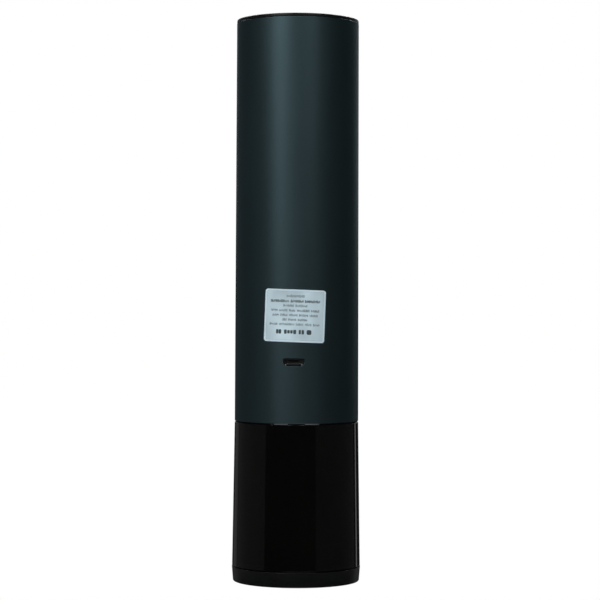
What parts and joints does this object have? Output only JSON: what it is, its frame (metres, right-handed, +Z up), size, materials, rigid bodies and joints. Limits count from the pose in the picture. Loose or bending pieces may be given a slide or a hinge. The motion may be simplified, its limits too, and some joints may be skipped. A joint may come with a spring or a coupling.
{
  "type": "electric wine opener",
  "caption": "Slim upright cordless wine opener: a metal-look tube over a smoked sleeve, with a motor-driven worm inside and a pull-off foil cutter as its foot.",
  "frame": {"origin": "centre of the foil cutter's underside, on the surface the opener stands on", "axes": "+Z up along the opener's long axis; -Y is the back with the label and the charging port; +Y is the front with the rocker switch; +X is to the right seen from the back"},
  "size_m": [0.0488, 0.0488, 0.213],
  "materials": {
    "gunmetal_tube": "satin metallic paint",
    "smoked_clear": "glossy smoked",
    "satin_black": "satin",
    "black_plastic": "matte",
    "grey_plastic": "matte",
    "label_film": "satin silver film",
    "nickel": "bright nickel",
    "steel": "turned",
    "dark_steel": "dark",
    "worm_steel": "polished",
    "wheel_steel": "ground edge",
    "bronze": "turned",
    "ferrite": "matte",
    "circuit_board": "solder mask",
    "light_pipe": "frosted clear",
    "cell_wrap": "shrink film",
    "nylon": "moulded"
  },
  "bodies": {
    "casing": {"outer_tube": "gunmetal_tube", "top_cap": "satin_black", "back_label": "label_film", "smoked_sleeve": "smoked_clear", "collar_ring": "grey_plastic", "cork_guide": "black_plastic", "chassis_front": "black_plastic", "chassis_back": "black_plastic", "usb_shell": "dark_steel", "usb_tongue": "satin_black", "charge_board": "circuit_board", "main_board": "circuit_board", "up_switch": "nickel", "down_switch": "nickel", "status_light": "light_pipe", "battery_cell": "cell_wrap", "battery_strip": "nickel", "rocker_pin": "dark_steel", "motor_can": "steel", "motor_end_cap": "black_plastic", "magnet_left": "ferrite", "magnet_right": "ferrite", "motor_plate": "steel", "gearbox_housing": "grey_plastic", "output_bush": "bronze", "gearbox_screw_left": "steel", "gearbox_screw_right": "steel", "track_sleeve": "nylon"},
    "rotor": {"motor_shaft": "steel", "armature": "dark_steel", "motor_pinion": "bronze"},
    "first_stage": {"first_carrier": "steel"},
    "second_stage": {"second_carrier": "steel"},
    "output": {"output_carrier": "steel", "drive_tube": "steel"},
    "worm_carriage": {"worm_block": "dark_steel", "worm": "worm_steel", "follower_pin_lower": "steel", "follower_pin_upper": "steel"},
    "rocker": {"rocker_button": "satin_black"},
    "foil_cutter": {"cutter_base": "satin_black", "cutter_cover": "satin_black", "cutter_spring_left": "steel", "cutter_spring_right": "steel"},
    "jaw_left": {"cutter_jaw_left": "black_plastic"},
    "jaw_right": {"cutter_jaw_right": "black_plastic"},
    "first_planet_1": {"first_planet_1": "nylon"},
    "first_planet_2": {"first_planet_2": "nylon"},
    "first_planet_3": {"first_planet_3": "nylon"},
    "second_planet_1": {"second_planet_1": "nylon"},
    "second_planet_2": {"second_planet_2": "nylon"},
    "second_planet_3": {"second_planet_3": "nylon"},
    "third_planet_1": {"third_planet_1": "nylon"},
    "third_planet_2": {"third_planet_2": "nylon"},
    "third_planet_3": {"third_planet_3": "nylon"},
    "wheel_left_back": {"cutter_wheel_left_back": "wheel_steel"},
    "wheel_left_front": {"cutter_wheel_left_front": "wheel_steel"},
    "wheel_right_back": {"cutter_wheel_right_back": "wheel_steel"},
    "wheel_right_front": {"cutter_wheel_right_front": "wheel_steel"}
  },
  "joints": [
    {"name": "worm_travel", "type": "slide", "parent": "output", "child": "worm_carriage", "axis": [0, 0, -1], "range_m": [0, 0.036]},
    {"name": "motor_spin", "type": "hinge", "parent": "casing", "child": "rotor", "pos_m": [0, 0, 0.146], "axis": [0, 0, -1], "range_deg": [0, 92160.5]},
    {"name": "first_stage_turn", "type": "hinge", "parent": "casing", "child": "first_stage", "pos_m": [0, 0, 0.1254], "axis": [0, 0, -1], "range_deg": [0, 23040.5]},
    {"name": "second_stage_turn", "type": "hinge", "parent": "casing", "child": "second_stage", "pos_m": [0, 0, 0.1183], "axis": [0, 0, -1], "range_deg": [0, 5760.5]},
    {"name": "output_turn", "type": "hinge", "parent": "casing", "child": "output", "pos_m": [0, 0, 0.1112], "axis": [0, 0, -1], "range_deg": [0, 1440.5]},
    {"name": "first_planet_1_spin", "type": "hinge", "parent": "first_stage", "child": "first_planet_1", "pos_m": [0.0084, 0, 0.1289], "axis": [0, 0, -1], "range_deg": [-69120.5, 0]},
    {"name": "first_planet_2_spin", "type": "hinge", "parent": "first_stage", "child": "first_planet_2", "pos_m": [-0.0042, 0.00727, 0.1289], "axis": [0, 0, -1], "range_deg": [-69120.5, 0]},
    {"name": "first_planet_3_spin", "type": "hinge", "parent": "first_stage", "child": "first_planet_3", "pos_m": [-0.0042, -0.00727, 0.1289], "axis": [0, 0, -1], "range_deg": [-69120.5, 0]},
    {"name": "second_planet_1_spin", "type": "hinge", "parent": "second_stage", "child": "second_planet_1", "pos_m": [0.0084, 0, 0.1218], "axis": [0, 0, -1], "range_deg": [-17280.5, 0]},
    {"name": "second_planet_2_spin", "type": "hinge", "parent": "second_stage", "child": "second_planet_2", "pos_m": [-0.0042, 0.00727, 0.1218], "axis": [0, 0, -1], "range_deg": [-17280.5, 0]},
    {"name": "second_planet_3_spin", "type": "hinge", "parent": "second_stage", "child": "second_planet_3", "pos_m": [-0.0042, -0.00727, 0.1218], "axis": [0, 0, -1], "range_deg": [-17280.5, 0]},
    {"name": "third_planet_1_spin", "type": "hinge", "parent": "output", "child": "third_planet_1", "pos_m": [0.0084, 0, 0.1147], "axis": [0, 0, -1], "range_deg": [-4320.5, 0]},
    {"name": "third_planet_2_spin", "type": "hinge", "parent": "output", "child": "third_planet_2", "pos_m": [-0.0042, 0.00727, 0.1147], "axis": [0, 0, -1], "range_deg": [-4320.5, 0]},
    {"name": "third_planet_3_spin", "type": "hinge", "parent": "output", "child": "third_planet_3", "pos_m": [-0.0042, -0.00727, 0.1147], "axis": [0, 0, -1], "range_deg": [-4320.5, 0]},
    {"name": "rocker_tilt", "type": "hinge", "parent": "casing", "child": "rocker", "pos_m": [0, 0.0209, 0.15], "axis": [1, 0, 0], "range_deg": [-3, 3], "stiffness_Nm_per_rad": 0.05},
    {"name": "foil_cutter_pull", "type": "slide", "parent": "casing", "child": "foil_cutter", "axis": [0, 0, -1], "range_m": [0, 0.03]},
    {"name": "jaw_left_slide", "type": "slide", "parent": "foil_cutter", "child": "jaw_left", "axis": [-1, 0, 0], "range_m": [0, 0.0016], "stiffness_N_per_m": 300, "deforming": ["cutter_spring_left"]},
    {"name": "jaw_right_slide", "type": "slide", "parent": "foil_cutter", "child": "jaw_right", "axis": [1, 0, 0], "range_m": [0, 0.0016], "stiffness_N_per_m": 300, "deforming": ["cutter_spring_right"]},
    {"name": "wheel_left_back_spin", "type": "hinge", "parent": "jaw_left", "child": "wheel_left_back", "pos_m": [-0.01532, -0.00714, 0.00305], "axis": [0, 0, 1], "continuous": true},
    {"name": "wheel_left_front_spin", "type": "hinge", "parent": "jaw_left", "child": "wheel_left_front", "pos_m": [-0.01532, 0.00714, 0.00305], "axis": [0, 0, 1], "continuous": true},
    {"name": "wheel_right_back_spin", "type": "hinge", "parent": "jaw_right", "child": "wheel_right_back", "pos_m": [0.01532, -0.00714, 0.00305], "axis": [0, 0, 1], "continuous": true},
    {"name": "wheel_right_front_spin", "type": "hinge", "parent": "jaw_right", "child": "wheel_right_front", "pos_m": [0.01532, 0.00714, 0.00305], "axis": [0, 0, 1], "continuous": true}
  ],
  "couplings": [
    {"joint": "motor_spin", "follows": "worm_travel", "rad_per_m": 44680},
    {"joint": "first_stage_turn", "follows": "worm_travel", "rad_per_m": 11170},
    {"joint": "second_stage_turn", "follows": "worm_travel", "rad_per_m": 2792.5},
    {"joint": "output_turn", "follows": "worm_travel", "rad_per_m": 698.13},
    {"joint": "first_planet_1_spin", "follows": "worm_travel", "rad_per_m": -33510},
    {"joint": "first_planet_2_spin", "follows": "worm_travel", "rad_per_m": -33510},
    {"joint": "first_planet_3_spin", "follows": "worm_travel", "rad_per_m": -33510},
    {"joint": "second_planet_1_spin", "follows": "worm_travel", "rad_per_m": -8377.6},
    {"joint": "second_planet_2_spin", "follows": "worm_travel", "rad_per_m": -8377.6},
    {"joint": "second_planet_3_spin", "follows": "worm_travel", "rad_per_m": -8377.6},
    {"joint": "third_planet_1_spin", "follows": "worm_travel", "rad_per_m": -2094.4},
    {"joint": "third_planet_2_spin", "follows": "worm_travel", "rad_per_m": -2094.4},
    {"joint": "third_planet_3_spin", "follows": "worm_travel", "rad_per_m": -2094.4}
  ]
}
